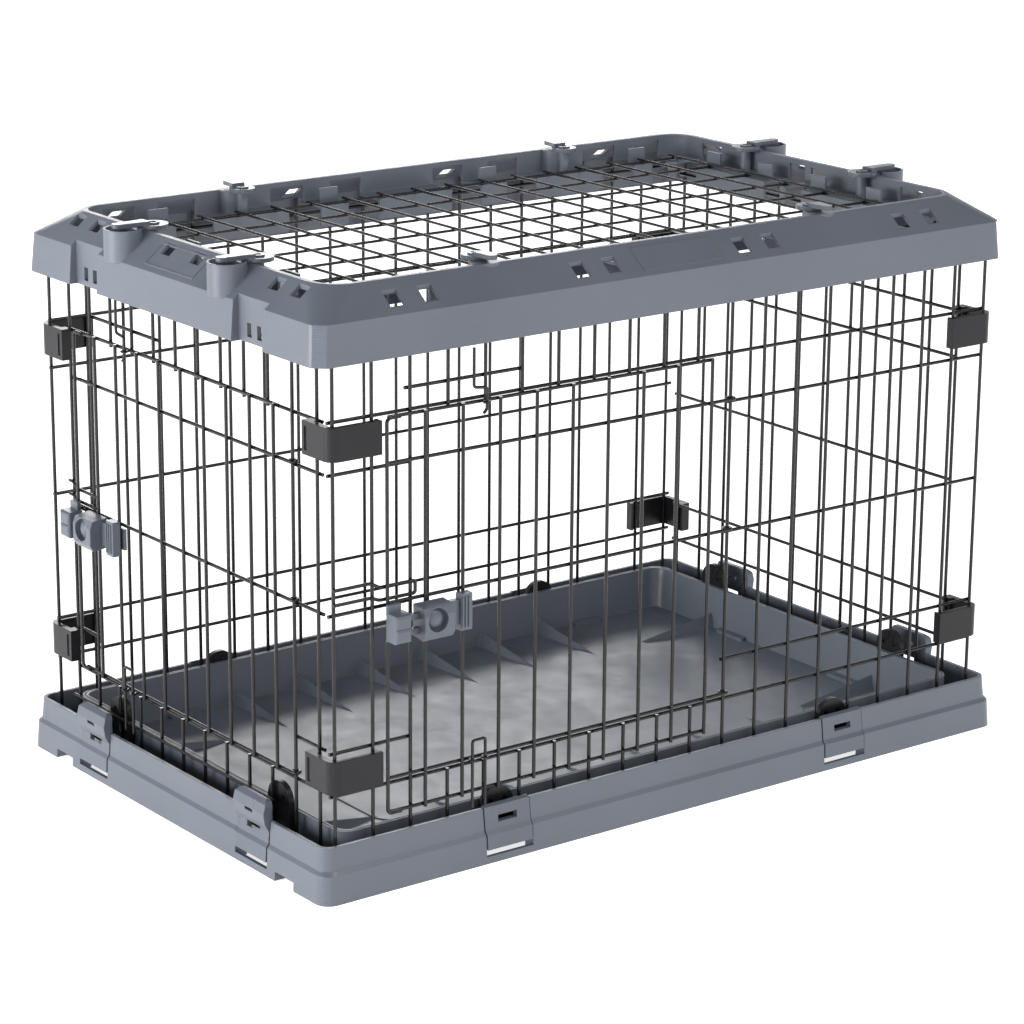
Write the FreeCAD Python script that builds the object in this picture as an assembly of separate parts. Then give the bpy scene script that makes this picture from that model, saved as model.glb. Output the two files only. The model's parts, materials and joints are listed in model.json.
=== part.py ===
import FreeCAD, Part
import math
import os

# Wire dog crate: moulded base, four wire walls with two doors, lift-off roof.
# Millimetres, +Z up, origin at the centre of the base's bottom face. Front is -Y.

V = FreeCAD.Vector
UP = V(0, 0, 1)

# ---- driving dimensions ----
BASE = ((920.0, 586.0, 0.0), (917.0, 582.0, 30.0), (911.0, 575.0, 34.0), (908.0, 569.0, 58.0))
BASE_WALL = 4.0
CHANNEL_FLOOR = 22.0
TRAY_OUT = (836.0, 524.0)
TRAY_TOP = 60.0
TRAY_FLOOR = 12.0

WIRE_R = 1.9
GAP = 0.02
RUN = 0.06
WALL_LONG = 272.0
WALL_SHORT = 427.5
WALL_TOP = 583.5
LONG_X0, LONG_PITCH, LONG_N = -432.6, 45.537, 20
SHORT_X0, SHORT_PITCH, SHORT_N = -238.3, 43.327, 12
LONG_RAILS = (104.5, 149.3, 291.6, 433.5, 486.0, 566.0)
SHORT_RAILS = (99.0, 144.0, 285.0, 427.0, 480.0, 560.0)
SHORT_BAR = 22.0

DOOR_LIFT = 4.2
DOOR_TOP = 484.0
LATCH_Z = 274.0

CLIP_LONG_X = 230.5
CLIP_SHORT_Y = 158.0
CLIP_W = 57.0
CLIP_FOOT = 14.5
PIVOT_R = 2.5
PIVOT_Z = 18.5

ROOF = ((911.0, 563.0, 543.0), (905.0, 557.0, 584.0), (837.0, 486.0, 612.0))
SHELL = 3.0
LEDGE_Z = 588.0
LEDGE_IN = (748.0, 398.0)
LEVER_SHORT = (404.0, 100.0, 36.0)
LEVER_LONG = (222.0, 214.0, 18.0)
MESH_R = 1.5

WHEEL_Y = 220.0
WHEEL_R = 6.4
WHEEL_PIN_R = 1.5

PARTS = "parts"


# ---- helpers ----
def box(x0, x1, y0, y1, z0, z1):
    return Part.makeBox(x1 - x0, y1 - y0, z1 - z0, V(x0, y0, z0))


def cyl(r, p, q):
    d = q.sub(p)
    return Part.makeCylinder(r, d.Length, p, d)


def outline(length, depth, z, r):
    """A rounded rectangle centred on the Z axis, as a closed wire."""
    a, b = length / 2, depth / 2
    k = r * (1 - math.sqrt(0.5))
    edges = []
    for sx, sy in ((1, 1), (-1, 1), (-1, -1), (1, -1)):
        first = V(sx * a, sy * (b - r), z)
        mid = V(sx * (a - k), sy * (b - k), z)
        last = V(sx * (a - r), sy * b, z)
        if sx * sy < 0:
            first, last = last, first
        edges.append((first, mid, last))
    made = []
    for i, (first, mid, last) in enumerate(edges):
        made.append(Part.Arc(first, mid, last).toShape())
        made.append(Part.makeLine(last, edges[(i + 1) % 4][0]))
    return Part.Wire(made)


def prism(length, depth, z0, z1, r):
    return Part.Face(outline(length, depth, z0, r)).extrude(V(0, 0, z1 - z0))


def loft(sections, radii):
    wires = [outline(s[0], s[1], s[2], r) for s, r in zip(sections, radii)]
    return Part.makeLoft(wires, True, True)


def ring(outer, inner, z0, z1, r):
    return prism(outer[0], outer[1], z0, z1, r).cut(prism(inner[0], inner[1], z0 - 1, z1 + 1, r - 3))


def section(points, width, x):
    """A (y, z) polygon extruded along X, centred on x."""
    pts = [V(x - width / 2, y, z) for y, z in points]
    return Part.Face(Part.makePolygon(pts + [pts[0]])).extrude(V(width, 0, 0))


def plan(points, z0, z1):
    pts = [V(x, y, z0) for x, y in points]
    return Part.Face(Part.makePolygon(pts + [pts[0]])).extrude(V(0, 0, z1 - z0))


def turned(shape, degrees):
    s = shape.copy()
    s.rotate(V(0, 0, 0), UP, degrees)
    return s


def mirrored_x(shape):
    return shape.mirror(V(0, 0, 0), V(1, 0, 0))


def mirrored_y(shape):
    return shape.mirror(V(0, 0, 0), V(0, 1, 0))


def pipe(points, r, size=3.0):
    """A bent wire through the points, with rounded bends."""
    edges = []
    start = points[0]
    for i in range(1, len(points) - 1):
        p, a, b = points[i], points[i - 1], points[i + 1]
        u, w = a.sub(p).normalize(), b.sub(p).normalize()
        angle = u.getAngle(w)
        bend = min(size, p.distanceToPoint(a) / 2.2, p.distanceToPoint(b) / 2.2)
        t1, t2 = p.add(u.multiply(bend)), p.add(w.multiply(bend))
        u, w = a.sub(p).normalize(), b.sub(p).normalize()
        radius = bend * math.tan(angle / 2)
        half = u.add(w).normalize()
        centre = p.add(half.multiply(radius / math.sin(angle / 2)))
        mid = centre.add(p.sub(centre).normalize().multiply(radius))
        edges.append(Part.makeLine(start, t1))
        edges.append(Part.Arc(t1, mid, t2).toShape())
        start = t2
    edges.append(Part.makeLine(start, points[-1]))
    path = Part.Wire(edges)
    circle = Part.Wire(Part.makeCircle(r, points[0], points[1].sub(points[0])))
    return path.makePipeShell([circle], True, False)


def write(name, shapes):
    shapes = shapes if isinstance(shapes, list) else [shapes]
    solids = [s for shape in shapes for s in shape.Solids]
    made = solids[0] if len(solids) == 1 else Part.makeCompound(solids)
    made.exportStep(os.path.join(PARTS, name + ".step"))


def half_depth(z, sections, axis):
    """Half the outline's size at height z, along X (axis 0) or Y (axis 1)."""
    for low, high in zip(sections, sections[1:]):
        if z <= high[2]:
            t = (z - low[2]) / (high[2] - low[2])
            return (low[axis] + t * (high[axis] - low[axis])) / 2
    return sections[-1][axis] / 2


# ---- the four sides: (turn in degrees, half size axis, clip centres) ----
SIDES = {
    "front": (0, 1, (-CLIP_LONG_X, CLIP_LONG_X)),
    "right": (90, 0, (-CLIP_SHORT_Y, CLIP_SHORT_Y)),
    "back": (180, 1, (-CLIP_LONG_X, CLIP_LONG_X)),
    "left": (-90, 0, (-CLIP_SHORT_Y, CLIP_SHORT_Y)),
}


def pivot_y(axis):
    return -(half_depth(PIVOT_Z, BASE, axis) - 5.5)


# ---- base ----
def base_tub():
    tub = loft(BASE, (16, 16, 15, 14))
    under = [(s[0] - 2 * BASE_WALL, s[1] - 2 * BASE_WALL, s[2]) for s in BASE]
    skirt = loft([(under[0][0], under[0][1], -1), (under[1][0], under[1][1], 19)], (12, 12))
    tray_block = prism(TRAY_OUT[0], TRAY_OUT[1], 9, 30, 16)
    tub = tub.cut(skirt.cut(tray_block))
    channel = prism(under[3][0], under[3][1], CHANNEL_FLOOR, 70, 10)
    tub = tub.cut(channel.cut(prism(TRAY_OUT[0], TRAY_OUT[1], 0, 80, 16)))
    rim = prism(TRAY_OUT[0], TRAY_OUT[1], 50, TRAY_TOP, 16)
    tub = tub.fuse(rim)
    floor_edge = (TRAY_OUT[0] - 26, TRAY_OUT[1] - 26, TRAY_FLOOR)
    inside = loft((floor_edge, (TRAY_OUT[0] - 10, TRAY_OUT[1] - 10, 62)), (14, 14))
    tub = tub.cut(inside)
    tub = tub.fuse(loft(((600, 330, TRAY_FLOOR - 1), (596, 326, TRAY_FLOOR + 1.2)), (26, 24)))
    ribs = []
    for turn, reach, places in (
        (0, TRAY_OUT[1] / 2 - 12, [-220 + 88 * i for i in range(6)]),
        (90, TRAY_OUT[0] / 2 - 12, [-144, 144]),
    ):
        for x in places:
            rib = wedge_rib(x, reach)
            ribs += [turned(rib, turn), turned(rib, turn + 180)]
    for sx, sy in ((1, 1), (-1, 1), (-1, -1), (1, -1)):
        for length, depth, x, y in ((42, 9, 290, 243), (9, 47, 400, 100)):
            pad = prism(length, depth, TRAY_FLOOR - 1, TRAY_FLOOR + 4, 4)
            pad.translate(V(sx * x, sy * y, 0))
            ribs.append(pad)
    groove_out = (TRAY_OUT[0] - 3.4, TRAY_OUT[1] - 3.4)
    groove_in = (TRAY_OUT[0] - 6.8, TRAY_OUT[1] - 6.8)
    tub = tub.cut(ring(groove_out, groove_in, TRAY_TOP - 1.4, TRAY_TOP + 5, 15))
    tub = tub.multiFuse(ribs)
    tub = tub.multiFuse(underside_ribs())
    for turn, axis, centres in SIDES.values():
        for c in centres:
            tub = clip_pocket(tub, turn, axis, c)
    for y in (-WHEEL_Y, WHEEL_Y):
        tub = tub.cut(box(-455.5, -432, y - 17, y + 17, -1, 15.5))
        tub = tub.cut(box(-470, -455, y - 17, y + 17, -1, 10))
        cheeks = [box(-456, -432, y + s * 18.5 - 2.5, y + s * 18.5 + 2.5, 0.6, 17) for s in (-1, 1)]
        roof_plate = box(-457, -432, y - 20, y + 20, 15.5, 18)
        tub = tub.multiFuse(cheeks + [roof_plate])
        tub = tub.cut(cyl(WHEEL_PIN_R + GAP, V(-446, y - 25, 7.4), V(-446, y + 25, 7.4)))
    return tub.removeSplitter()


def underside_ribs():
    """Stiffening ribs under the tray floor, down to the surface it stands on."""
    half_x, half_y = TRAY_OUT[0] / 2 - 20, TRAY_OUT[1] / 2 - 20
    ribs = [box(-half_x, half_x, y - 2, y + 2, 0, TRAY_FLOOR - 2) for y in (-160, 0, 160)]
    for x in (-320, -160, 0, 160, 320):
        ribs.append(box(x - 2, x + 2, -half_y, half_y, 0, TRAY_FLOOR - 2))
    ribs.append(Part.makeCylinder(20, TRAY_FLOOR - 2))
    return ribs


def wedge_rib(x, y):
    """A long low wedge from the tray's wall to a point on its floor."""
    low, length = TRAY_FLOOR - 0.5, 126.0
    a, b = V(x - 7, y + 4, low), V(x + 7, y + 4, low)
    tip, top = V(x, y - length, low), V(x, y + 4, low + 18)
    sides = ((a, b, tip), (a, top, b), (b, top, tip), (tip, top, a))
    faces = [Part.Face(Part.makePolygon(list(p) + [p[0]])) for p in sides]
    return Part.Solid(Part.Shell(faces))


def clip_pocket(tub, turn, axis, c):
    w = CLIP_W / 2 + 1.2
    out = half_depth(0, BASE, axis)
    cut = box(c - w, c + w, -out - 5, -out + 13.5, 7.5, 70)
    tub = tub.cut(turned(cut, turn))
    py = pivot_y(axis)
    cheeks = []
    for s in (-1, 1):
        x0, x1 = sorted((c + s * w, c + s * (w + 7)))
        cheek = box(x0, x1, -out + 1.8, -out + 15, 1, CHANNEL_FLOOR)
        cheeks.append(turned(cheek, turn))
    shelf = box(c - w - 1, c + w + 1, -out + 12.5, -out + 20, 17, CHANNEL_FLOOR)
    tub = tub.multiFuse(cheeks + [turned(shelf, turn)])
    bore = cyl(PIVOT_R + RUN, V(c - w - 4.5, py, PIVOT_Z), V(c + w + 4.5, py, PIVOT_Z))
    return tub.cut(turned(bore, turn))


def base_clip(turn, axis, c):
    """A stepped clip flush with the base's wall, on two trunnions near its foot."""
    proud = 0.8
    py = pivot_y(axis)
    outer = [(-(half_depth(z, BASE, axis) + proud), z) for z in (CLIP_FOOT, 30, 34)]
    if axis == 1:
        top = -(half_depth(58, BASE, axis) + proud)
        outer += [(top, 58.5), (top + 5, 60)]
        inner = [(top + 5, 36), (top + 2.5, 30), (py + 3.2, 23), (py + 3.2, CLIP_FOOT)]
    else:
        top = -(half_depth(50, BASE, axis) + proud)
        outer += [(top, 46), (top - 5, 55), (top - 6.5, 66), (top - 4, 76)]
        outer += [(top + 1, 80), (top + 5, 79.2)]
        inner = [(top + 4, 67), (top + 5, 48), (top + 5, 36), (top + 2.5, 30)]
        inner += [(py + 3.2, 23), (py + 3.2, CLIP_FOOT)]
    clip = section(outer + inner, CLIP_W, c)
    clip = clip.cut(box(c - 12, c + 12, -500, py + 20, 41, 48))
    if axis == 0:
        eye = box(c - 7, c + 7, -500, py + 20, 62, 65.5)
        clip = clip.cut(eye)
        for s in (-1, 1):
            edge = c + s * CLIP_W / 2
            corner = box(edge - 8, edge + 8, -500, -400, 72, 95)
            round_off = cyl(8.0, V(edge - s * 8, -500, 72), V(edge - s * 8, -400, 72))
            clip = clip.cut(corner.cut(round_off))
    pin = cyl(PIVOT_R, V(c - CLIP_W / 2 - 5.2, py, PIVOT_Z), V(c + CLIP_W / 2 + 5.2, py, PIVOT_Z))
    return turned(clip.fuse(pin).removeSplitter(), turn)


def wall_catch(turn, axis, c):
    """The dark half-round catch behind each base clip, standing in the channel."""
    plane = WALL_LONG if axis == 1 else WALL_SHORT
    y0, y1 = -(plane - WIRE_R - 0.6), -(plane - WIRE_R - 6.8)
    crown = 52.0 if axis == 1 else 66.0
    disc = cyl(20, V(c, y0, crown), V(c, y1, crown))
    body = box(c - 20, c + 20, y0, y1, CHANNEL_FLOOR + GAP, crown)
    catch = disc.fuse(body)
    for x in (-9.0, 9.0):
        catch = catch.cut(cyl(3.2, V(c + x, y0 - 1, crown + 4), V(c + x, y1 + 1, crown + 4)))
    for angle in (30, 60, 90, 120, 150):
        fin = box(-1.0, 1.0, y1 - 0.1, y1 + 0.7, 10, 19)
        fin.rotate(V(0, 0, 0), V(0, 1, 0), 90 - angle)
        fin.translate(V(c, 0, crown))
        catch = catch.fuse(fin)
    return turned(catch.removeSplitter(), turn)


# ---- wire walls, drawn as the front wall of a crate and turned into place ----
def upright(x, plane, z0, z1):
    return cyl(WIRE_R, V(x, -plane, z0), V(x, -plane, z1))


def rail(x0, x1, plane, z):
    y = -(plane - 2 * WIRE_R - GAP)
    return cyl(WIRE_R, V(x0, y, z), V(x1, y, z))


def wire_wall(plane, x0, pitch, n, rails, door, end):
    """Uprights and rails. door holds the indices of its latch and hinge uprights, or is None."""
    xs = [x0 + pitch * i for i in range(n)]
    foot = CHANNEL_FLOOR + GAP
    wires = []
    for i, x in enumerate(xs):
        if door and door[0] < i < door[1]:
            wires.append(upright(x, plane, foot, rails[0] + WIRE_R))
            wires.append(upright(x, plane, rails[4] - WIRE_R, WALL_TOP))
        else:
            wires.append(upright(x, plane, foot, WALL_TOP))
    left, right = xs[0] - end, xs[-1] + end
    for i, z in enumerate(rails):
        if door and 0 < i < 4:
            wires.append(rail(left, xs[door[0]] + WIRE_R, plane, z))
            wires.append(rail(xs[door[1]] - WIRE_R, right, plane, z))
        else:
            wires.append(rail(left, right, plane, z))
    if door:
        wires.append(rail(xs[door[0]] - 4, xs[door[0] + 3] + 4, plane, rails[4] + SHORT_BAR))
    return wires


def foot_rail(plane, x0, x1, z):
    """A low wire outside the uprights, under a door that stops short of the base."""
    y = -(plane + 2 * WIRE_R + GAP)
    return cyl(WIRE_R, V(x0, y, z), V(x1, y, z))


def strike_loop(plane, x0, stile, z):
    """A wire hairpin welded on the wall's corner uprights, reaching behind the latch."""
    y = -(plane + 2 * WIRE_R + GAP)
    end = stile + 36
    mid = stile - 9
    pts = [
        V(x0 - 3, y, z + 8),
        V(mid - 8, y, z + 8),
        V(mid + 2, y, z + 2),
        V(end, y, z + 2),
        V(end, y, z - 11),
        V(mid + 2, y, z - 11),
        V(mid - 8, y, z - 7),
        V(x0 - 3, y, z - 7),
    ]
    return pipe(pts, WIRE_R - 0.1)


def door_wires(plane, stile, pitch, n, hinge_x, foot, rails):
    """The door's grid. Its latch side upright is two bent wires, parted behind the latch."""
    lay = -(plane + 2 * WIRE_R + RUN)
    front = lay - 2 * WIRE_R - GAP
    wires = []
    for i in range(1, n):
        x = stile + pitch * i
        wires.append(cyl(WIRE_R, V(x, front, foot - 2), V(x, front, DOOR_TOP + 2)))
    for inner, z0, z1 in (
        (stile + 16, rails[1], DOOR_TOP),
        (stile + pitch - WIRE_R - GAP, LATCH_Z - 13, foot),
    ):
        bent = [
            V(inner, front, z0),
            V(stile, front, z0),
            V(stile, front, z1),
            V(stile + 16, front, z1),
        ]
        wires.append(pipe(bent, WIRE_R, 5.0))
    last = stile + pitch * (n - 1)
    for z in sorted({foot, DOOR_TOP} - set(rails)):
        wires.append(cyl(WIRE_R, V(stile + 4, lay, z), V(last + 4, lay, z)))
    for z in rails:
        wires.append(cyl(WIRE_R, V(stile + 4, lay, z), V(hinge_x - 14, lay, z)))
    return wires


def hinge_ring(plane, hinge_x, z):
    """The end of a door wire bent round the wall's hinge upright."""
    r = 2 * WIRE_R + RUN
    centre = V(hinge_x, -plane, z)
    start = V(hinge_x - 14 + GAP, -plane - r, z)
    tangent = V(hinge_x, -plane - r, z)

    def on_ring(a):
        return V(hinge_x + r * math.sin(math.radians(a)), centre.y - r * math.cos(math.radians(a)), z)

    curl = Part.Arc(tangent, on_ring(140), on_ring(280)).toShape()
    path = Part.Wire([Part.makeLine(start, tangent), curl])
    circle = Part.Wire(Part.makeCircle(WIRE_R, start, V(1, 0, 0)))
    return path.makePipeShell([circle], True, False)


def latch_housing(plane, stile, pitch):
    """The grey clamp block on two of the door's uprights, with its thumb recess."""
    face = -(plane + 5 * WIRE_R + RUN + GAP + 0.04)
    x1, x2 = stile + pitch, stile + 2 * pitch
    z0, z1 = LATCH_Z - 17, LATCH_Z + 19
    profile = (
        (face, z0 + 2),
        (face, z1 - 1),
        (face - 18, z1 - 3),
        (face - 21, z1 - 11),
        (face - 21, z0 + 6),
        (face - 17, z0),
    )
    block = section(profile, 36, x1 + 2)
    clamp = box(x2 - 10, x2 + 4, face - 9, face, z0 - 1, z1 + 1)
    bridge = box(x1 + 18, x2 - 8, face - 6, face, z0 + 5, z1 - 5)
    web = box(x1 + 4, x2 - 5, face - 1, face + 4.2, z0 + 5, z1 - 8)
    back = face + 2 * WIRE_R
    jaw = box(x1 - 7, x2 + 6, back + 0.14, back + 3.0, z0 + 5, z1 - 8)
    ribs = [box(x2 + dx, x2 + dx + 1.6, face - 10.4, face - 8, z0 + 2, z1 - 2) for dx in (-9, -5, -1)]
    made = block.multiFuse([clamp, bridge, web, jaw] + ribs)
    recess = cyl(12.0, V(x1, face - 40, LATCH_Z + 3), V(x1, face - 14, LATCH_Z + 3))
    made = made.cut(recess.cut(Part.makeSphere(15, V(x1, face - 4, LATCH_Z + 3))))
    for dz in (-7.5, 7.5):
        z = LATCH_Z + dz
        made = made.cut(box(x1 - 20, x1 + 14, face - 10.1, face - 3.9, z - 3.1, z + 3.1))
    return made.removeSplitter()


def latch_slider(plane, stile, pitch):
    """The grip wing with two guide bars that run inside the housing."""
    face = -(plane + 5 * WIRE_R + RUN + GAP + 0.04)
    x1 = stile + pitch
    lobes = []
    for z0, z1 in ((LATCH_Z - 14.5, LATCH_Z + 0.5), (LATCH_Z - 0.5, LATCH_Z + 14.5)):
        lobe = box(x1 - 49, x1 - 30, face - 19, face - 1, z0, z1)
        lobes.append(lobe.makeFillet(3.5, [e for e in lobe.Edges if e.BoundBox.YMax < face - 18]))
    bars = []
    for z in (LATCH_Z - 7.5, LATCH_Z + 7.5):
        bars.append(box(x1 - 31, x1 - 0.5, face - 10, face - 4, z - 3, z + 3))
    tongue = box(x1 - 49, x1 - 34, face - 5, face - 0.6, LATCH_Z + 12, LATCH_Z + 23)
    return lobes[0].multiFuse(lobes[1:] + bars + [tongue]).removeSplitter()


def slide_bolt(plane, x, low):
    """A bent wire bolt in front of the door's wires; low for the one at the door's foot."""
    y = -(plane + 5 * WIRE_R + RUN + GAP + 1.75)
    if low:
        pts = [V(x - 8, y, 62), V(x - 8, y, 134), V(x + 8, y, 134), V(x + 8, y, 62)]
    else:
        pts = [V(x - 8, y, 541), V(x - 8, y, 501), V(x + 8, y, 499), V(x + 8, y, 477), V(x + 4, y, 473)]
    return pipe(pts, 1.6)


def bolt_guide(plane, x, z):
    """A small closed wire ring round one leg of a bolt, held on a door wire."""
    y = -(plane + 5 * WIRE_R + RUN + GAP + 1.75)
    made = Part.makeTorus(1.6 + RUN + 1.3, 1.3, V(x, y, z), UP)
    arm = cyl(1.3, V(x, y + 2.96, z), V(x, -(plane + 3 * WIRE_R + RUN + GAP), z))
    return made.fuse(arm)


def corner_clip(z0, z1):
    """Joins the end uprights of a long and a short wall, at the front left corner."""
    inner_y, outer_y = -(WALL_LONG + WIRE_R + 0.1), -(WALL_LONG + 8.4)
    inner_x, outer_x = -(432.6 + WIRE_R + 0.1), -(432.6 + 8.4)
    leg_end = -232.0
    plate = box(outer_x + 12, -380.0, outer_y, inner_y, z0, z1)
    side = box(outer_x, inner_x, outer_y + 12, leg_end, z0, z1)
    bend = Part.makeCylinder(12, z1 - z0, V(outer_x + 12, outer_y + 12, z0))
    bend = bend.cut(box(inner_x, -380, inner_y, -200, z0 - 1, z1 + 1))
    hook = box(inner_x - 1, -(WALL_SHORT + WIRE_R + 0.1), leg_end - 12, leg_end, z0, z1)
    lip = box(-383.0, -380.0, inner_y - 1, -(WALL_LONG - 1.5), z0, z1)
    made = plate.multiFuse([side, bend, hook, lip])
    made = made.cut(box(outer_x - 1, outer_x + 1.2, leg_end - 9, leg_end - 4, z0 + 5, z1 - 5))
    return made.removeSplitter()


# ---- roof ----
def lever_boss(x, y, outward, reach):
    """The half-round housing under a roof lever's tail, and the pillar under its pivot."""
    top = ROOF[2][2]
    centre = V(x, y, 0).add(V(outward).multiply(reach))
    r = 20.0 if reach > 20 else 15.0
    post = Part.makeCylinder(r, top - 582, V(centre.x, centre.y, 582))
    if reach > 20:
        post = post.fuse(Part.makeCylinder(r, 3.3, V(centre.x, centre.y, top)))
        post = post.cut(Part.makeCylinder(r - 2.2, 20, V(centre.x, centre.y, top - 5)))
        inner = V(x, y, 0).add(V(outward).multiply(reach - 16))
        half = box(-50, 0, -r - 1, r + 1, top - 6, top + 8)
        half.rotate(V(0, 0, 0), UP, math.degrees(math.atan2(outward.y, outward.x)))
        half.translate(inner)
        post = post.cut(half)
        solid = Part.makeCylinder(r, top - 582, V(centre.x, centre.y, 582))
        post = post.fuse(solid.common(half))
    return post.fuse(Part.makeCylinder(6, top - LEDGE_Z + 1, V(x, y, LEDGE_Z - 1)))


LEVERS = {}
for side_name, sign in (("left", -1), ("right", 1)):
    for end_name, other in (("front", -1), ("back", 1)):
        x, y, reach = LEVER_SHORT
        LEVERS[side_name + "_" + end_name] = (sign * x, other * y, V(sign, 0, 0), reach)
for side_name, sign in (("front", -1), ("back", 1)):
    for end_name, other in (("left", -1), ("right", 1)):
        x, y, reach = LEVER_LONG
        LEVERS[side_name + "_" + end_name] = (other * x, sign * y, V(0, sign, 0), reach)


def roof_frame():
    shell = loft(ROOF, (18, 18, 34)).cut(Part.makeCompound(apron_facets()))
    inner = [(s[0] - 2 * SHELL, s[1] - 2 * SHELL, s[2] - dz) for s, dz in zip(ROOF, (1, 1, SHELL))]
    ledge_out = (ROOF[2][0] - 6, ROOF[2][1] - 6)
    wall_in = (ledge_out[0] - 6, ledge_out[1] - 6)
    lip_out = (LEDGE_IN[0] + 6, LEDGE_IN[1] + 6)
    bosses = [lever_boss(*v) for v in LEVERS.values()]
    notches = []
    for turn in (-90, 90):
        for c in (-CLIP_SHORT_Y, CLIP_SHORT_Y):
            notches.append(turned(box(c - 32, c + 32, -470, -441, 540, 600), turn).common(shell))
    void = loft(inner, (15, 15, 31))
    made = shell.cut(void)
    made = made.multiFuse([b.cut(void) for b in bosses] + notches)
    made = made.cut(prism(wall_in[0], wall_in[1], 540, 620, 26))
    made = made.multiFuse(
        [
            ring(ledge_out, wall_in, LEDGE_Z - 3, ROOF[2][2] - 1, 28),
            ring(ledge_out, LEDGE_IN, LEDGE_Z - 3, LEDGE_Z, 28),
            ring(lip_out, LEDGE_IN, 564, LEDGE_Z, 22),
        ]
    )
    inner_bosses = [b.common(box(-430, 430, -262, 262, LEDGE_Z - 1, 700)) for b in bosses]
    made = made.multiFuse(inner_bosses)
    cuts = []
    for turn in (-90, 90):
        for c in (-CLIP_SHORT_Y, CLIP_SHORT_Y):
            cuts.append(turned(box(c - 28, c + 28, -480, -446, 530, 591), turn))
            for dx in (-13, 5):
                cuts.append(turned(box(c + dx, c + dx + 8, -450, -430, 549, 563), turn))
    for x in (354.0, 313.0, 126.0, 86.0):
        for sx in (-1, 1):
            for sy in (-1, 1):
                cuts.append(box(sx * x - 8.5, sx * x + 8.5, sy * 262 - 8, sy * 262 + 8, 570, 640))
    for y in (212.0, 172.0, 28.0):
        for sy in (-1, 1):
            for sx in (-1, 1):
                cuts.append(box(sx * 428 - 6, sx * 428 + 6, sy * y - 9, sy * y + 9, 576, 640))
    made = made.cut(Part.makeCompound(cuts))
    fins = []
    for i in range(16):
        x = -345.0 + 46.0 * i
        for s in (-1, 1):
            y0, y1 = sorted((s * (lip_out[1] / 2 - 1), s * (lip_out[1] / 2 + 9)))
            fins.append(box(x - 1.25, x + 1.25, y0, y1, 570, LEDGE_Z - 2))
    for i in range(8):
        y = -161.0 + 46.0 * i
        for s in (-1, 1):
            x0, x1 = sorted((s * (lip_out[0] / 2 - 1), s * (lip_out[0] / 2 + 9)))
            fins.append(box(x0, x1, y - 1.25, y + 1.25, 570, LEDGE_Z - 2))
    tabs = []
    for s in (-1, 1):
        for x in (-330, -110, 110, 330):
            tabs.append(box(x - 12, x + 12, s * 213 - 1.5, s * 213 + 1.5, LEDGE_Z - 1, LEDGE_Z + 17))
        for y in (-138, -46, 46, 138):
            tabs.append(box(s * 388 - 1.5, s * 388 + 1.5, y - 12, y + 12, LEDGE_Z - 1, LEDGE_Z + 17))
    made = made.multiFuse(fins + tabs + label_plates())
    made = made.cut(Part.makeCompound(ridge_windows()))
    return made.removeSplitter()


def ridge_windows():
    """Openings through the ridge's inner wall, the ledge and its lip, behind the chamfer's slots."""
    cuts = []
    for s in (-1, 1):
        y0, y1 = sorted((s * (ROOF[2][1] / 2 - 2), s * (LEDGE_IN[1] / 2 - 3)))
        for a, b in ((50, 92), (128, 171), (268, 316), (344, 384)):
            for x0, x1 in ((a, b), (-b, -a)):
                cuts.append(box(x0, x1, y0, y1, 560, 606))
        x0, x1 = sorted((s * (ROOF[2][0] / 2 - 2), s * (LEDGE_IN[0] / 2 - 3)))
        for a, b in ((5, 32), (154, 190)):
            for y0, y1 in ((a, b), (-b, -a)):
                cuts.append(box(x0, x1, y0, y1, 560, 606))
    return cuts


def apron_facets():
    """Wedges that flatten the four upright corners of the roof's apron."""
    inset = 2 * 18 - 16.5 * math.sqrt(2)
    cutters = []
    for sx, sy in ((1, 1), (-1, 1), (-1, -1), (1, -1)):
        ends = []
        for length, depth, z in ROOF[:2]:
            a, b = length / 2, depth / 2
            bound = a + b - inset
            pts = ((a + 20, bound - a - 20), (bound - b - 20, b + 20), (a + 20, b + 20))
            corner = [V(sx * x, sy * y, z) for x, y in pts]
            ends.append(Part.makePolygon(corner + [corner[0]]))
        cutters.append(Part.makeLoft(ends, True, True))
    return cutters


def label_plates():
    """Blank raised panels on the front and the left chamfers."""
    rise = ROOF[2][2] - ROOF[1][2]
    plates = []
    for run, size, width, turn, half in (
        ((ROOF[1][1] - ROOF[2][1]) / 2, 1, 104.0, 0, ROOF[1][1] / 2),
        ((ROOF[1][0] - ROOF[2][0]) / 2, 0, 92.0, -90, ROOF[1][0] / 2),
    ):
        slope = math.degrees(math.atan2(rise, run))
        length = math.hypot(rise, run)
        margin = 7.0
        plate = box(-width / 2, width / 2, margin, length - margin, -1.0, 0.7)
        if size == 0:
            low, high = margin + 1.5, length - margin - 1.5
            plate = plate.cut(box(-width / 2 + 1.5, width / 2 - 1.5, low, high, -2, 2))
        plate.rotate(V(0, 0, 0), V(1, 0, 0), slope)
        plate.translate(V(0, -half, ROOF[1][2]))
        plates.append(turned(plate, turn))
    return plates


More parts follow.
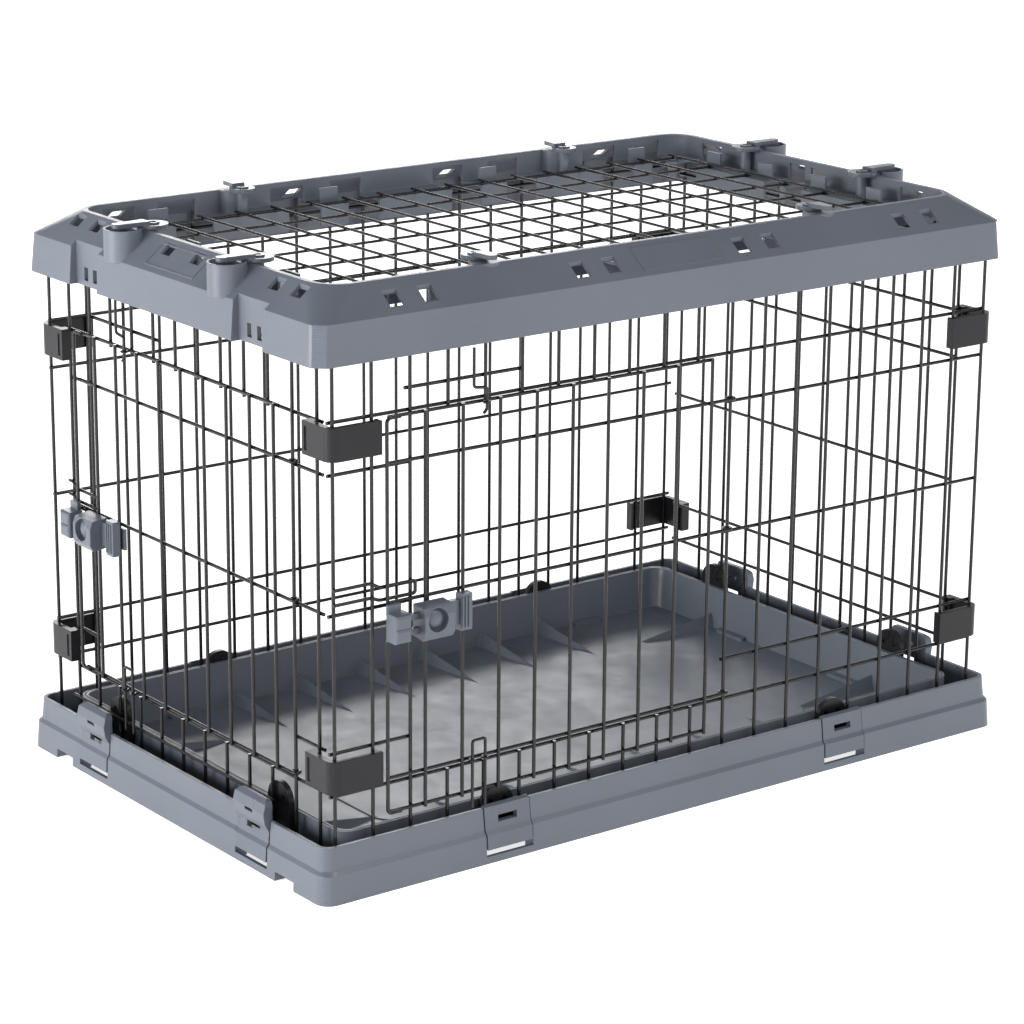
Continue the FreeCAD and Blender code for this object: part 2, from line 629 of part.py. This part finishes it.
def roof_lever(x, y, outward, reach):
    """A flat disc with an eyelet inside the ridge, and a bar out over the housing."""
    z0 = ROOF[2][2] + 0.3
    eye = 16.5 if reach > 20 else 14.0
    disc = Part.makeCylinder(eye, 4.3, V(x, y, z0))
    side = V(-outward.y, outward.x, 0)
    base = V(x, y, 0)
    end = reach + 6 if reach > 20 else reach + 10
    pts = []
    for along, across in ((7.5, 8.0), (20, 6.2), (end, 6.0), (end, -6.0), (20, -6.2), (7.5, -8.0)):
        p = base.add(V(outward).multiply(along)).add(V(side).multiply(across))
        pts.append((p.x, p.y))
    lever = disc.fuse(plan(pts, z0 + 3.5, z0 + 8.2))
    tip = base.add(V(outward).multiply(end))
    lever = lever.fuse(Part.makeCylinder(6.0, 4.7, V(tip.x, tip.y, z0 + 3.5)))
    lever = lever.cut(Part.makeCylinder(5.5, 20, V(x, y, z0 - 5)))
    return lever.removeSplitter()


def lever_pin(x, y):
    z = ROOF[2][2]
    shank = Part.makeCylinder(5.5 - RUN, 5.0, V(x, y, z))
    head = Part.makeCylinder(7.2, 1.4, V(x, y, z + 4.8))
    pin = shank.fuse(head)
    return pin.cut(Part.makeCylinder(3.9, 8, V(x, y, z + 1.2)))


def roof_mesh():
    wires = []
    low = LEDGE_Z + MESH_R + GAP
    for i in range(7):
        y = -201.0 + 67.0 * i
        wires.append(cyl(MESH_R, V(-383, y, low), V(383, y, low)))
    for i in range(17):
        x = -376.0 + 47.0 * i
        z = low + 2 * MESH_R + GAP
        wires.append(cyl(MESH_R, V(x, -208, z), V(x, 208, z)))
    return wires


# ---- build ----
os.makedirs(PARTS, exist_ok=True)

write("base_tub", base_tub())
for side, (turn, axis, centres) in SIDES.items():
    for tag, c in zip(("a", "b"), centres):
        write("base_clip_" + side + "_" + tag, base_clip(turn, axis, c))
    write("wall_catches_" + side, [wall_catch(turn, axis, c) for c in centres])

long_door = (2, 11)
short_door = (1, 10)
write("wall_front", wire_wall(WALL_LONG, LONG_X0, LONG_PITCH, LONG_N, LONG_RAILS, long_door, 4))
plain_wall = wire_wall(WALL_LONG, LONG_X0, LONG_PITCH, LONG_N, LONG_RAILS, None, 4)
write("wall_back", [turned(w, 180) for w in plain_wall])
short_wall = wire_wall(WALL_SHORT, SHORT_X0, SHORT_PITCH, SHORT_N, SHORT_RAILS, None, 4)
write("wall_right", [turned(w, 90) for w in short_wall])
door_wall = wire_wall(WALL_SHORT, SHORT_X0, SHORT_PITCH, SHORT_N, SHORT_RAILS, short_door, 4)
door_wall.append(foot_rail(WALL_SHORT, SHORT_X0 - 5.5, 160, 66.3))
write("wall_left", [turned(w, -90) for w in door_wall])

DOORS = {
    "front": (0, WALL_LONG, LONG_X0, LONG_X0 + 11 * LONG_PITCH, -374.2, 45.6, 77.0, LONG_RAILS),
    "left": (-90, WALL_SHORT, SHORT_X0, SHORT_X0 + 10 * SHORT_PITCH, -216.7, 43.27, None, SHORT_RAILS),
}
for name, (turn, plane, x0, hinge_x, stile, pitch, foot, rails) in DOORS.items():
    levels = (rails[0] + 8.5, rails[2] + DOOR_LIFT, rails[3] + DOOR_LIFT)
    bolt_x = stile + 2.4 * pitch
    wires = door_wires(plane, stile, pitch, 10, hinge_x, foot or levels[0], levels)
    write("door_" + name, [turned(w, turn) for w in wires])
    write("hinge_rings_" + name, [turned(hinge_ring(plane, hinge_x, z), turn) for z in levels])
    write("strike_loop_" + name, turned(strike_loop(plane, x0, stile, rails[2] + 20), turn))
    write("latch_housing_" + name, turned(latch_housing(plane, stile, pitch), turn))
    write("latch_slider_" + name, turned(latch_slider(plane, stile, pitch), turn))
    write("bolt_low_" + name, turned(slide_bolt(plane, bolt_x, True), turn))
    write("bolt_top_" + name, turned(slide_bolt(plane, bolt_x, False), turn))
    guides = [bolt_guide(plane, bolt_x + dx, levels[0]) for dx in (-8, 8)]
    guides.append(bolt_guide(plane, bolt_x + 8, DOOR_TOP))
    write("bolt_guides_" + name, [turned(g, turn) for g in guides])

for tag, z0, z1 in (("low", 109.0, 144.0), ("top", 449.0, 483.0)):
    one = corner_clip(z0, z1)
    write("corner_clips_" + tag, [one, mirrored_x(one), mirrored_y(one), mirrored_y(mirrored_x(one))])

write("roof_frame", roof_frame())
write("roof_mesh", roof_mesh())
for name, pose in LEVERS.items():
    write("roof_lever_" + name, roof_lever(*pose))
write("lever_pins", [lever_pin(v[0], v[1]) for v in LEVERS.values()])

for tag, y in (("front", -WHEEL_Y), ("back", WHEEL_Y)):
    wheel = cyl(WHEEL_R, V(-446, y - 12, 7.4), V(-446, y + 12, 7.4))
    wheel = wheel.cut(cyl(WHEEL_PIN_R + RUN, V(-446, y - 20, 7.4), V(-446, y + 20, 7.4)))
    write("wheel_" + tag, wheel)
pins = [cyl(WHEEL_PIN_R, V(-446, y - 20.5, 7.4), V(-446, y + 20.5, 7.4)) for y in (-WHEEL_Y, WHEEL_Y)]
write("wheel_pins", pins)
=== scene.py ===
import json
import math

import bmesh
import bpy
from mathutils import Matrix, Vector


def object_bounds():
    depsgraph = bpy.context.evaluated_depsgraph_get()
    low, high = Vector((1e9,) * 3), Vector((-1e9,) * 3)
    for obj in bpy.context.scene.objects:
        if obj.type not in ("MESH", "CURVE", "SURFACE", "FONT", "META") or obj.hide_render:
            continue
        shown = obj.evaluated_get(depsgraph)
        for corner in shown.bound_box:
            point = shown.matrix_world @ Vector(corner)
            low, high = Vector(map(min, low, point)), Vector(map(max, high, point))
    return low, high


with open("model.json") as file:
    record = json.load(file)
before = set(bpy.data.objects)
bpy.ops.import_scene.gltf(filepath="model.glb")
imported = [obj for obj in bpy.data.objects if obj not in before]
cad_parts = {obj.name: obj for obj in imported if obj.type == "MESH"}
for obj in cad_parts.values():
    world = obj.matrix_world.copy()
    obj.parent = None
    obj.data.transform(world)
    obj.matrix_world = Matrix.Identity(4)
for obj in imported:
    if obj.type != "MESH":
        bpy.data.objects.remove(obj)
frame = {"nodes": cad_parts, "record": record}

cad_low, cad_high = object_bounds()

# ---- view: the crate is seen from its front left, from a little above ----
CAMERA_PLACE = Vector((-2.162, -2.850, 1.299))
CAMERA_AZIMUTH = math.radians(-37.04)
CAMERA_ELEVATION = math.radians(16.18)
CAMERA_ROLL = math.radians(0.44)
CAMERA_LENS = 117.98
CAMERA_SENSOR = 36.0
CAMERA_REACH = 200.0

# ---- finish: linear colours ----
SLATE = (0.110, 0.127, 0.156)
SLATE_DARK = (0.090, 0.104, 0.129)
# the lighter slate is used for speckle, tooling lines and the painted highlight along rounded edges
SLATE_LIGHT = (0.170, 0.190, 0.222)
LEVER_SHADE = (0.090, 0.103, 0.126)
BLACK_PLASTIC = (0.012, 0.012, 0.014)
BLACK_DEEP = (0.008, 0.008, 0.010)
# the lighter black is used for speckle and the painted highlight along rounded edges
BLACK_FLECK_AND_HIGHLIGHT = (0.030, 0.030, 0.034)
BLACK_WIRE = (0.006, 0.006, 0.007)
WIRE_SHEEN = (0.014, 0.014, 0.016)
STEEL = (0.46, 0.46, 0.48)
STEEL_DARK = (0.30, 0.30, 0.32)
FLOOR = (0.93, 0.93, 0.93)
FLOOR_SHADE = (0.91, 0.91, 0.91)
WHITE = (1.0, 1.0, 1.0, 1.0)
FLOOR_GLOW = 0.72

# ---- finish: textures, in metres where they are lengths ----
BEVEL_SAMPLES = 4
EDGE_COSINE = 0.72  # an edge this far from its face's normal gets the full painted highlight
GRAIN_DEPTH = 0.0003
HATCH_PITCH = 0.0022
RIPPLE_DEPTH = 0.0004
BRUSH_DEPTH = 0.0002
BRUSH_STRETCH = (900.0, 8.0, 900.0)

# ---- studio ----
FLOOR_HALF = 60.0
WALL_HEIGHT, WALL_LIGHT = 0.08, 1.15  # sine of the elevation, and brightness there
CEILING_HEIGHT, CEILING_LIGHT = 0.55, 0.22


# ---- node helpers ----
class Tree:
    """A small writer for one material's nodes."""

    def __init__(self, name):
        self.material = bpy.data.materials.new(name)
        self.material.use_nodes = True
        self.tree = self.material.node_tree
        self.shader = self.tree.nodes["Principled BSDF"]
        self.coords = self.add("ShaderNodeTexCoord")

    def add(self, kind, **settings):
        node = self.tree.nodes.new(kind)
        for key, value in settings.items():
            setattr(node, key, value)
        return node

    def join(self, source, target):
        self.tree.links.new(source, target)

    def noise(self, scale, detail=2.0, roughness=0.5, vector=None):
        node = self.add("ShaderNodeTexNoise")
        node.inputs["Scale"].default_value = scale
        node.inputs["Detail"].default_value = detail
        node.inputs["Roughness"].default_value = roughness
        self.join(vector or self.coords.outputs["Object"], node.inputs["Vector"])
        return node.outputs["Fac"]

    def math(self, operation, *values):
        node = self.add("ShaderNodeMath", operation=operation)
        for socket, value in zip(node.inputs, values):
            if isinstance(value, (int, float)):
                socket.default_value = value
            else:
                self.join(value, socket)
        return node.outputs[0]

    def span(self, value, low, high, to_low=0.0, to_high=1.0):
        node = self.add("ShaderNodeMapRange")
        self.join(value, node.inputs["Value"])
        for name, number in (
            ("From Min", low),
            ("From Max", high),
            ("To Min", to_low),
            ("To Max", to_high),
        ):
            node.inputs[name].default_value = number
        return node.outputs["Result"]

    def mix(self, factor, a, b):
        node = self.add("ShaderNodeMix", data_type="RGBA")
        colours = [s for s in node.inputs if s.type == "RGBA"]
        sockets = (node.inputs["Factor"], colours[0], colours[1])
        for socket, value in zip(sockets, (factor, a, b)):
            if isinstance(value, bpy.types.NodeSocket):
                self.join(value, socket)
            elif isinstance(value, (int, float)):
                socket.default_value = value
            else:
                socket.default_value = (*value, 1.0)
        return [s for s in node.outputs if s.type == "RGBA"][0]

    def axes(self, socket):
        node = self.add("ShaderNodeSeparateXYZ")
        self.join(socket, node.inputs[0])
        return node.outputs

    def edge(self, radius):
        """0 on flats, rising to 1 along rounded edges, and the rounded normal itself."""
        bevel = self.add("ShaderNodeBevel", samples=BEVEL_SAMPLES)
        bevel.inputs["Radius"].default_value = radius
        geometry = self.add("ShaderNodeNewGeometry")
        dot = self.add("ShaderNodeVectorMath", operation="DOT_PRODUCT")
        self.join(bevel.outputs["Normal"], dot.inputs[0])
        self.join(geometry.outputs["True Normal"], dot.inputs[1])
        # mask for the painted highlight along rounded edges
        edge_highlight = self.span(dot.outputs["Value"], 1.0, EDGE_COSINE)
        return self.math("MINIMUM", edge_highlight, 1.0), bevel.outputs["Normal"]

    def bump(self, height, strength, distance, normal=None):
        node = self.add("ShaderNodeBump")
        node.inputs["Strength"].default_value = strength
        node.inputs["Distance"].default_value = distance
        self.join(height, node.inputs["Height"])
        if normal is not None:
            self.join(normal, node.inputs["Normal"])
        return node.outputs["Normal"]


def moulded(name, tones, rough, grain, edge_radius, edge_highlight, hatch=0.0, gloss=0.5):
    """Injection-moulded plastic: slow tone drift, fine speckle, satin grain and a painted highlight
    along rounded edges.

    hatch > 0 adds the fine crossed tooling lines that the upright outer faces carry."""
    t = Tree(name)
    drift = t.noise(5.0, 3.0)
    speckle = t.noise(1500.0, 2.0, 0.6)
    base = t.mix(t.span(drift, 0.3, 0.7), tones[0], tones[1])
    base = t.mix(t.span(speckle, 0.35, 0.65, 0.0, 0.16), base, tones[2])
    edge, rounded = t.edge(edge_radius)
    # painted highlight: rounded edges are mixed toward the lighter third tone by this amount
    base = t.mix(t.math("MULTIPLY", edge, edge_highlight), base, tones[2])
    height = t.noise(2200.0, 2.0, 0.55)
    roughness = t.span(t.noise(38.0, 3.0), 0.3, 0.7, rough - 0.05, rough + 0.05)
    if hatch:
        x, y, z = t.axes(t.coords.outputs["Object"])
        along = t.math("ADD", x, y)
        waves = []
        for slope in (1.0, -1.0):
            phase = t.math("MULTIPLY_ADD", z, slope, along)
            turns = t.math("MULTIPLY", phase, 2 * math.pi / HATCH_PITCH)
            waves.append(t.math("SINE", turns))
        lines = t.math("MAXIMUM", *waves)
        nz = t.axes(t.coords.outputs["Normal"])[2]
        upright = t.span(t.math("ABSOLUTE", nz), 0.35, 0.15)
        upright = t.math("MAXIMUM", t.math("MINIMUM", upright, 1.0), 0.0)
        cut = t.math("MULTIPLY", t.math("MULTIPLY", lines, upright), hatch)
        height = t.math("ADD", cut, height)
        shade = t.math("MULTIPLY", t.span(lines, -0.2, 1.0, 0.0, 0.30), upright)
        base = t.mix(shade, base, tones[2])
    t.join(base, t.shader.inputs["Base Color"])
    t.join(roughness, t.shader.inputs["Roughness"])
    t.join(t.bump(height, grain, GRAIN_DEPTH, rounded), t.shader.inputs["Normal"])
    t.shader.inputs["IOR"].default_value = 1.5
    t.shader.inputs["Specular IOR Level"].default_value = gloss
    return t.material


def coated_wire(name, rough):
    """Epoxy-dipped wire: near black, glossy, with slight thickness ripples."""
    t = Tree(name)
    drift = t.noise(30.0, 3.0)
    base = t.mix(t.span(drift, 0.3, 0.7), BLACK_WIRE, WIRE_SHEEN)
    t.join(base, t.shader.inputs["Base Color"])
    ripple = t.noise(260.0, 2.0)
    t.join(t.span(ripple, 0.3, 0.7, rough - 0.06, rough + 0.08), t.shader.inputs["Roughness"])
    t.join(t.bump(ripple, 0.12, RIPPLE_DEPTH), t.shader.inputs["Normal"])
    t.shader.inputs["Specular IOR Level"].default_value = 0.35
    t.shader.inputs["Coat Weight"].default_value = 0.15
    t.shader.inputs["Coat Roughness"].default_value = 0.08
    return t.material


def brushed(name):
    """Bright steel with fine lines along Y."""
    t = Tree(name)
    stretched = t.add("ShaderNodeMapping")
    stretched.inputs["Scale"].default_value = BRUSH_STRETCH
    t.join(t.coords.outputs["Object"], stretched.inputs["Vector"])
    lines = t.noise(1.0, 3.0, 0.6, stretched.outputs["Vector"])
    t.join(t.mix(lines, STEEL, STEEL_DARK), t.shader.inputs["Base Color"])
    t.join(t.span(lines, 0.3, 0.7, 0.22, 0.42), t.shader.inputs["Roughness"])
    t.shader.inputs["Metallic"].default_value = 1.0
    t.join(t.bump(lines, 0.15, BRUSH_DEPTH), t.shader.inputs["Normal"])
    return t.material


def floor_material():
    """Matt, nearly white, and glowing a little so that it stays pale in shadow."""
    t = Tree("pale_floor")
    t.join(t.mix(t.noise(3.0), FLOOR, FLOOR_SHADE), t.shader.inputs["Base Color"])
    t.shader.inputs["Roughness"].default_value = 0.9
    t.shader.inputs["Specular IOR Level"].default_value = 0.0
    t.shader.inputs["Emission Color"].default_value = WHITE
    t.shader.inputs["Emission Strength"].default_value = FLOOR_GLOW
    return t.material


slate_tones = (SLATE, SLATE_DARK, SLATE_LIGHT)
lever_tones = (SLATE_DARK, LEVER_SHADE, SLATE_LIGHT)
black_tones = (BLACK_PLASTIC, BLACK_DEEP, BLACK_FLECK_AND_HIGHLIGHT)
# the edge amount of each finish sets how strongly its painted highlight lightens the rounded edges
FINISHES = {
    "base_plastic": moulded(
        "moulded_base", slate_tones, rough=0.38, grain=0.10, edge_radius=0.0012, edge_highlight=0.5, hatch=0.35
    ),
    "roof_plastic": moulded(
        "moulded_roof", slate_tones, rough=0.38, grain=0.10, edge_radius=0.0014, edge_highlight=0.6, hatch=0.35
    ),
    "clip_plastic": moulded(
        "moulded_clip", slate_tones, rough=0.32, grain=0.06, edge_radius=0.0008, edge_highlight=0.6
    ),
    "lever_plastic": moulded(
        "moulded_lever", lever_tones, rough=0.26, grain=0.05, edge_radius=0.0009, edge_highlight=0.7
    ),
    "black_plastic": moulded(
        "moulded_black", black_tones, rough=0.32, grain=0.06, edge_radius=0.0008, edge_highlight=0.5, gloss=0.3
    ),
    "black_wire": coated_wire("coated_wire", 0.20),
    "mesh_wire": coated_wire("coated_mesh", 0.24),
    "bright_pin": brushed("brushed_pin"),
}

# ---- every CAD node takes its slot's finish, and the levers a darker one of their own ----
for row in frame["record"]["subparts"]:
    node = frame["nodes"][row["node"]]
    slot = row["material_slot"]
    if row["node"].startswith("roof_lever") or row["node"] == "lever_pins":
        slot = "lever_plastic"
    node.data.materials.clear()
    node.data.materials.append(FINISHES[slot])

# ---- floor, light and camera ----
plane = bmesh.new()
corners = [
    plane.verts.new((x * FLOOR_HALF, y * FLOOR_HALF, cad_low.z))
    for x, y in ((-1, -1), (1, -1), (1, 1), (-1, 1))
]
plane.faces.new(corners)
floor_mesh = bpy.data.meshes.new("floor")
plane.to_mesh(floor_mesh)
plane.free()
floor = bpy.data.objects.new("floor", floor_mesh)
bpy.context.scene.collection.objects.link(floor)
floor.data.materials.append(floor_material())

# A white studio: bright walls round the crate, a darker ceiling.
world = bpy.data.worlds.new("studio")
bpy.context.scene.world = world
world.use_nodes = True
sky = world.node_tree
direction = sky.nodes.new("ShaderNodeTexCoord")
split = sky.nodes.new("ShaderNodeSeparateXYZ")
fall = sky.nodes.new("ShaderNodeMapRange")
fall.interpolation_type = "SMOOTHSTEP"
for name, number in (
    ("From Min", WALL_HEIGHT),
    ("From Max", CEILING_HEIGHT),
    ("To Min", WALL_LIGHT),
    ("To Max", CEILING_LIGHT),
):
    fall.inputs[name].default_value = number
sky.links.new(direction.outputs["Generated"], split.inputs[0])
sky.links.new(split.outputs["Z"], fall.inputs["Value"])
sky.links.new(fall.outputs["Result"], sky.nodes["Background"].inputs["Strength"])
sky.nodes["Background"].inputs["Color"].default_value = WHITE


def softbox(name, place, aim, size, power):
    """A rectangular area light at place that faces aim."""
    data = bpy.data.lights.new(name, "AREA")
    data.shape = "RECTANGLE"
    data.size, data.size_y = size
    data.energy = power
    lamp = bpy.data.objects.new(name, data)
    bpy.context.scene.collection.objects.link(lamp)
    lamp.location = place
    lamp.rotation_mode = "QUATERNION"
    lamp.rotation_quaternion = (Vector(aim) - Vector(place)).to_track_quat("-Z", "Y")


softbox("key_left", (-3.6, 0.5, 0.9), (0.0, 0.0, 0.35), (2.2, 1.4), 120.0)
softbox("fill_front", (0.7, -2.7, 3.5), (0.0, 0.0, 0.5), (2.6, 1.2), 78.0)
softbox("rim_back", (1.6, 3.4, 1.6), (0.0, 0.0, 0.4), (2.4, 1.0), 40.0)

camera_data = bpy.data.cameras.new("camera")
camera_data.lens = CAMERA_LENS
camera_data.sensor_width = CAMERA_SENSOR
camera_data.clip_end = CAMERA_REACH
camera = bpy.data.objects.new("camera", camera_data)
bpy.context.scene.collection.objects.link(camera)
back = Vector(
    (
        math.sin(CAMERA_AZIMUTH) * math.cos(CAMERA_ELEVATION),
        -math.cos(CAMERA_AZIMUTH) * math.cos(CAMERA_ELEVATION),
        math.sin(CAMERA_ELEVATION),
    )
)
level = Vector((math.cos(CAMERA_AZIMUTH), math.sin(CAMERA_AZIMUTH), 0.0))
above = back.cross(level)
right = level * math.cos(CAMERA_ROLL) + above * math.sin(CAMERA_ROLL)
up = above * math.cos(CAMERA_ROLL) - level * math.sin(CAMERA_ROLL)
turn = Matrix((right, up, back)).transposed()
camera.matrix_world = Matrix.Translation(CAMERA_PLACE) @ turn.to_4x4()
bpy.context.scene.camera = camera
bpy.context.scene.view_settings.view_transform = "Standard"
